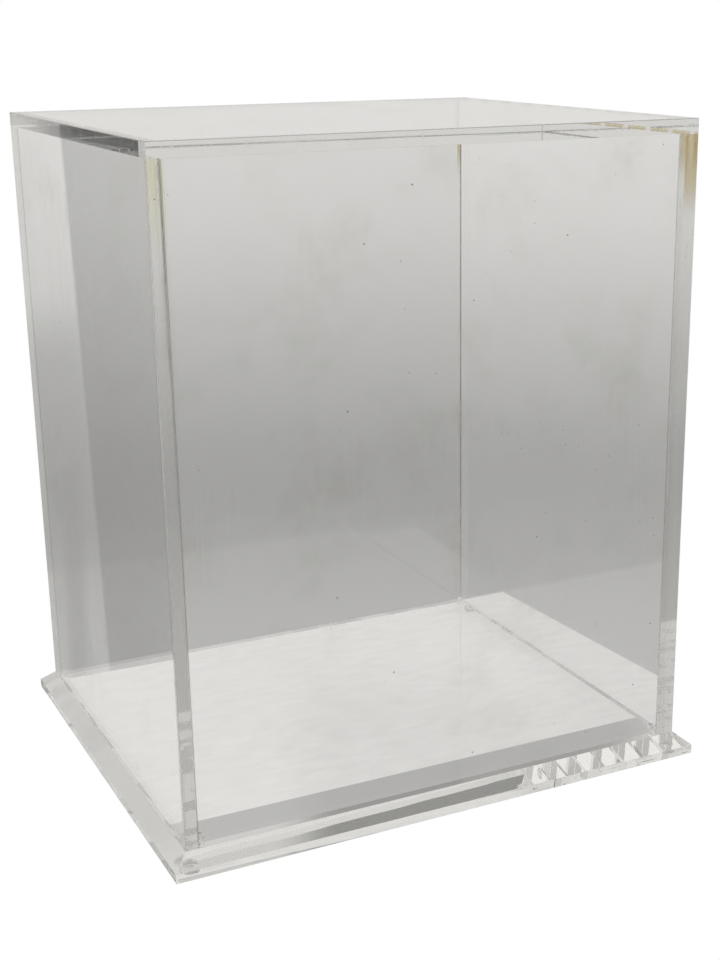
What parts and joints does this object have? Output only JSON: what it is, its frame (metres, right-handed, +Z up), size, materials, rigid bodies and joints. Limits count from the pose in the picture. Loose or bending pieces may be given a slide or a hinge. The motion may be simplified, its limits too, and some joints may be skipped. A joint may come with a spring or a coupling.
{
  "type": "acrylic display box",
  "caption": "Clear acrylic display box: a tall five-sided cover that lifts off a thick base plate with bevelled edges.",
  "frame": {"origin": "on the surface the feet stand on, under the middle of the box", "axes": "+Z up, the way the cover lifts; -Y is the front; +X is to the right as seen from the front"},
  "size_m": [0.232, 0.202, 0.2691],
  "materials": {
    "clear_acrylic_base": "clear cast sheet, polished edges",
    "clear_acrylic_wall": "clear cast sheet, polished",
    "clear_acrylic_top": "clear cast sheet, polished",
    "bumper_rubber": "clear soft bumper"
  },
  "bodies": {
    "base": {"base_plate": "clear_acrylic_base", "locating_pin_front_left": "clear_acrylic_base", "locating_pin_front_right": "clear_acrylic_base", "locating_pin_back_left": "clear_acrylic_base", "locating_pin_back_right": "clear_acrylic_base", "foot_front_left": "bumper_rubber", "foot_front_right": "bumper_rubber", "foot_back_left": "bumper_rubber", "foot_back_right": "bumper_rubber"},
    "cover": {"front_wall": "clear_acrylic_wall", "back_wall": "clear_acrylic_wall", "left_wall": "clear_acrylic_wall", "right_wall": "clear_acrylic_wall", "top_panel": "clear_acrylic_top"}
  },
  "joints": [
    {"name": "cover_lift", "type": "slide", "parent": "base", "child": "cover", "axis": [0, 0, 1], "range_m": [0, 0.27]}
  ]
}
